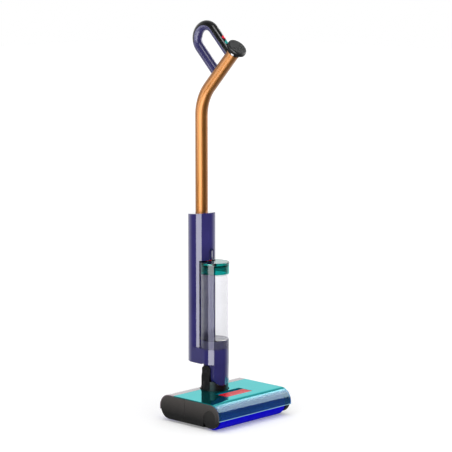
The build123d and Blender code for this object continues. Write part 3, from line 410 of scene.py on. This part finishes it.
def pile_sleeve(node, body):
    """A roller's microfibre sleeve: a lumpy pile wound as one helical strip, and loose combed tufts."""
    lo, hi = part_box(node)
    cy, cz = (lo.y + hi.y) / 2, (lo.z + hi.z) / 2
    radius = (hi.z - lo.z) / 2
    around, along = 168, 220
    length = hi.x - lo.x
    t = np.linspace(0, 1, along)
    a = np.linspace(0, 2 * math.pi, around, endpoint=False)
    tt, aa = np.meshgrid(t, a, indexing="ij")
    x = lo.x + END_GAP + (length - 2 * END_GAP) * tt
    turn = (tt * length / STRIP_PITCH + aa / (2 * math.pi)) % 1.0
    seam = np.exp(-((np.minimum(turn, 1 - turn) * STRIP_PITCH) / SEAM_WIDTH) ** 2)
    edge = np.minimum(tt, 1 - tt) * length
    rounding = 0.0022 * np.exp(-edge / 0.0018)
    lumps = rng.random((along, around))
    lumps = (lumps + np.roll(lumps, 1, 0) + np.roll(lumps, 1, 1) + np.roll(lumps, -1, 1)) / 4
    r = radius - 0.0004 - 0.0009 * seam - rounding - 0.0006 * lumps
    verts = np.stack([x, cy + r * np.cos(aa), cz + r * np.sin(aa)], -1).reshape(-1, 3)
    faces = []
    for i in range(along - 1):
        for j in range(around):
            k = (j + 1) % around
            faces.append((i * around + j, i * around + k, (i + 1) * around + k, (i + 1) * around + j))
    bore = radius - SLEEVE_THICK
    n = len(verts)
    ring = np.stack([np.full(around, 0.0), cy + bore * np.cos(a), cz + bore * np.sin(a)], -1)
    ends = []
    for x_end in (lo.x + END_GAP, hi.x - END_GAP):
        ring[:, 0] = x_end
        ends.append(ring.copy())
    verts = np.concatenate([verts, *ends])
    last = (along - 1) * around
    for j in range(around):
        k = (j + 1) % around
        faces.append((j, n + j, n + k, k))
        faces.append((last + j, last + k, n + around + k, n + around + j))
    # loose tufts, leaning the way the pile is combed
    tx = lo.x + 0.002 + (length - 0.004) * rng.random(TUFTS)
    ta = 2 * math.pi * rng.random(TUFTS)
    size = 0.0006 + 0.0005 * rng.random(TUFTS)
    base = len(verts)
    tips = []
    for x0, a0, s in zip(tx, ta, size):
        rad = Vector((0, math.cos(a0), math.sin(a0)))
        tan = Vector((0, -math.sin(a0), math.cos(a0)))
        foot = Vector((x0, cy, cz)) + rad * (radius - 0.0013)
        tip = Vector((x0, cy, cz)) + rad * (radius - 0.0002) + tan * s * 1.2
        tips += [foot + Vector((s * 0.4, 0, 0)), foot - Vector((s * 0.4, 0, 0)), foot + tan * s * 0.8, tip]
        faces += [(base, base + 1, base + 3), (base + 1, base + 2, base + 3), (base + 2, base, base + 3)]
        base += 4
    verts = np.concatenate([verts, np.array([tuple(v) for v in tips])])
    o = mesh_object(node.replace("sleeve", "pile"), verts, faces, FIBRE, body)
    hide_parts(node)
    return o


def curved_pad(name, centre, side, along, radius, turn, half_turn, half_long, lift, material):
    """A thin round-cornered pad bent round a tube. Turns are measured from side, about the axis along."""
    side, along = Vector(side).normalized(), Vector(along).normalized()
    other = along.cross(side)
    rows, cols = 13, 17
    verts, faces = [], []
    for layer, r in ((0, radius - 0.0004), (1, radius + lift)):
        for i in range(rows):
            u = -1 + 2 * i / (rows - 1)
            for j in range(cols):
                v = -1 + 2 * j / (cols - 1)
                # squeeze the square grid into a superellipse outline
                edge = max(abs(u), abs(v))
                k = edge / (abs(u) ** 5 + abs(v) ** 5) ** 0.2 if edge else 0.0
                dome = lift * 0.35 * edge ** 6 if layer else 0.0
                a = turn + half_turn * u * k
                out = side * math.cos(a) + other * math.sin(a)
                verts.append(Vector(centre) + along * (half_long * v * k) + out * (r - dome))
    n = rows * cols
    for i in range(rows - 1):
        for j in range(cols - 1):
            q = (i * cols + j, i * cols + j + 1, (i + 1) * cols + j + 1, (i + 1) * cols + j)
            faces.append(q[::-1])
            faces.append(tuple(n + w for w in q))
    rim = [j for j in range(cols)] + [i * cols + cols - 1 for i in range(1, rows)]
    rim += [(rows - 1) * cols + j for j in range(cols - 2, -1, -1)]
    rim += [i * cols for i in range(rows - 2, 0, -1)]
    for a, b in zip(rim, rim[1:] + rim[:1]):
        faces.append((a, b, n + b, n + a))
    return mesh_object(name, verts, faces, material, "body")


# the wand bends back on an arc, then runs straight up to the display's collar
slant = math.radians(43)
wand_dir = Vector((0, -math.sin(slant), math.cos(slant)))
bend_centre, bend_radius = Vector((0, -0.0325, 0.872)), 0.120
slant_start = bend_centre + bend_radius * Vector((0, math.cos(slant), math.sin(slant)))
collar_mid = slant_start + wand_dir * 0.1442
# painted highlight: a pale pad on the collar below the display stands in for a glint of light there
collar_glint_white = gloss_plastic("painted_glint_pale", (236, 236, 238), 0.25)
curved_pad("painted_collar_glint", collar_mid, (-1, 0, 0), wand_dir, 0.0199,
           math.radians(30), math.radians(13), 0.0040, 0.0006, collar_glint_white)

pile_sleeve("front_roller_sleeve", "front_roller")
pile_sleeve("rear_roller_sleeve", "rear_roller")

# ---------------------------------------------------------------- stage
sc = bpy.context.scene
sc.view_settings.view_transform = "Standard"
sc.view_settings.look = "None"

floor_mat = Mat("floor_white", 0.9)
paper = floor_mat.ramp(floor_mat.noise(3.0), [(0.3, (0.86, 0.86, 0.86, 1)), (0.7, (0.88, 0.88, 0.88, 1))])
floor_mat.link(paper, floor_mat.b.inputs["Base Color"])
floor_mat.b.inputs["Specular IOR Level"].default_value = 0.1
away = floor_mat.new("ShaderNodeVectorMath", operation="LENGTH")
floor_mat.link(floor_mat.co, away.inputs[0])
floor_mat.b.inputs["Emission Color"].default_value = (1, 1, 1, 1)
glow = floor_mat.spread(away.outputs["Value"], 0.2, 0.55, 0.35, 2.2)
floor_mat.link(glow, floor_mat.b.inputs["Emission Strength"])
me = bpy.data.meshes.new("floor")
me.from_pydata([(-14, -14, 0), (14, -14, 0), (14, 14, 0), (-14, 14, 0)], [], [(0, 1, 2, 3)])
me.materials.append(floor_mat.m)
floor = bpy.data.objects.new("floor", me)
sc.collection.objects.link(floor)
floor.visible_glossy = False

cam_data = bpy.data.cameras.new("camera")
cam_data.lens = 158.2
cam_data.sensor_width = 36.0
cam = bpy.data.objects.new("camera", cam_data)
cam.location = (-4.064, -3.874, 1.412)
cam.rotation_euler = (math.radians(81.36), 0, math.radians(-46.44))
sc.collection.objects.link(cam)
sc.camera = cam

VIEW_ANGLE = math.radians(-133.6)          # bearing of the viewer from the object, from +X


def softbox(name, bearing, distance, height, width, tall, radiance, diffuse=True, glossy=True, aim=0.55):
    """A rectangular studio light at a bearing round the object, facing its middle."""
    d = bpy.data.lights.new(name, "AREA")
    d.shape = "RECTANGLE"
    d.size, d.size_y = width, tall
    d.energy = radiance * width * tall * math.pi
    o = bpy.data.objects.new(name, d)
    o.location = (math.cos(bearing) * distance, math.sin(bearing) * distance, height)
    o.rotation_euler = (Vector((0, 0, aim)) - o.location).to_track_quat("-Z", "Y").to_euler()
    o.visible_camera = False
    o.visible_diffuse = diffuse
    o.visible_glossy = glossy
    o.visible_transmission = False
    sc.collection.objects.link(o)
    return o


# the key stands close on the viewer's left, and shows as a long upright highlight in every tube
key = VIEW_ANGLE - math.radians(31)
softbox("key", key, 0.95, 0.46, 0.82, 1.70, 7.2, diffuse=False, aim=0.46)
softbox("overhead", VIEW_ANGLE - math.radians(12), 0.72, 2.45, 0.5, 0.5, 7.0, diffuse=False, aim=1.05)
softbox("key_low_left", VIEW_ANGLE - math.radians(78), 0.95, 0.84, 0.55, 0.46, 5.0, diffuse=False, aim=0.84)
softbox("key_fill", key, 3.2, 1.2, 2.6, 3.0, 0.8, glossy=False)
softbox("fill_right", VIEW_ANGLE + math.radians(50), 3.2, 1.2, 2.4, 2.6, 0.6, glossy=False)
softbox("front_bank", math.radians(-15), 2.5, 1.62, 2.8, 1.8, 6.0, diffuse=False, aim=0.1)
softbox("top", VIEW_ANGLE, 0.3, 3.4, 3.2, 3.2, 1.4, glossy=False, aim=0.0)

world = bpy.data.worlds.new("studio")
sc.world = world
world.use_nodes = True
wt = world.node_tree
bg = wt.nodes["Background"]
bg.inputs["Color"].default_value = (1, 1, 1, 1)
path = wt.nodes.new("ShaderNodeLightPath")
geo = wt.nodes.new("ShaderNodeTexCoord")
dot = wt.nodes.new("ShaderNodeVectorMath")
dot.operation = "DOT_PRODUCT"
dot.inputs[1].default_value = (-math.cos(VIEW_ANGLE), -math.sin(VIEW_ANGLE), 0.0)
wt.links.new(geo.outputs["Generated"], dot.inputs[0])
behind = wt.nodes.new("ShaderNodeMapRange")
behind.inputs["From Min"].default_value = -0.1
behind.inputs["From Max"].default_value = 0.6
behind.inputs["To Min"].default_value = 0.06
behind.inputs["To Max"].default_value = 1.3
wt.links.new(dot.outputs["Value"], behind.inputs["Value"])


def wmath(op, a, b):
    n = wt.nodes.new("ShaderNodeMath")
    n.operation = op
    for i, v in enumerate((a, b)):
        if isinstance(v, float):
            n.inputs[i].default_value = v
        else:
            wt.links.new(v, n.inputs[i])
    return n.outputs[0]


sep = wt.nodes.new("ShaderNodeSeparateXYZ")
wt.links.new(geo.outputs["Generated"], sep.inputs[0])
low = wt.nodes.new("ShaderNodeMapRange")
low.inputs["From Min"].default_value = 0.34
low.inputs["From Max"].default_value = 0.56
low.inputs["To Min"].default_value = 1.0
low.inputs["To Max"].default_value = 0.5
wt.links.new(sep.outputs["Z"], low.inputs["Value"])
studio = wmath("MULTIPLY", behind.outputs["Result"], low.outputs["Result"])
soft = wmath("MULTIPLY", path.outputs["Is Diffuse Ray"], 0.62)
gloss = wmath("MULTIPLY", path.outputs["Is Glossy Ray"], studio)
through = wmath("MULTIPLY", path.outputs["Is Transmission Ray"], wmath("MINIMUM", studio, 1.0))
seen = wmath("MAXIMUM", path.outputs["Is Camera Ray"], through)
wt.links.new(wmath("MAXIMUM", seen, wmath("MAXIMUM", soft, gloss)), bg.inputs["Strength"])
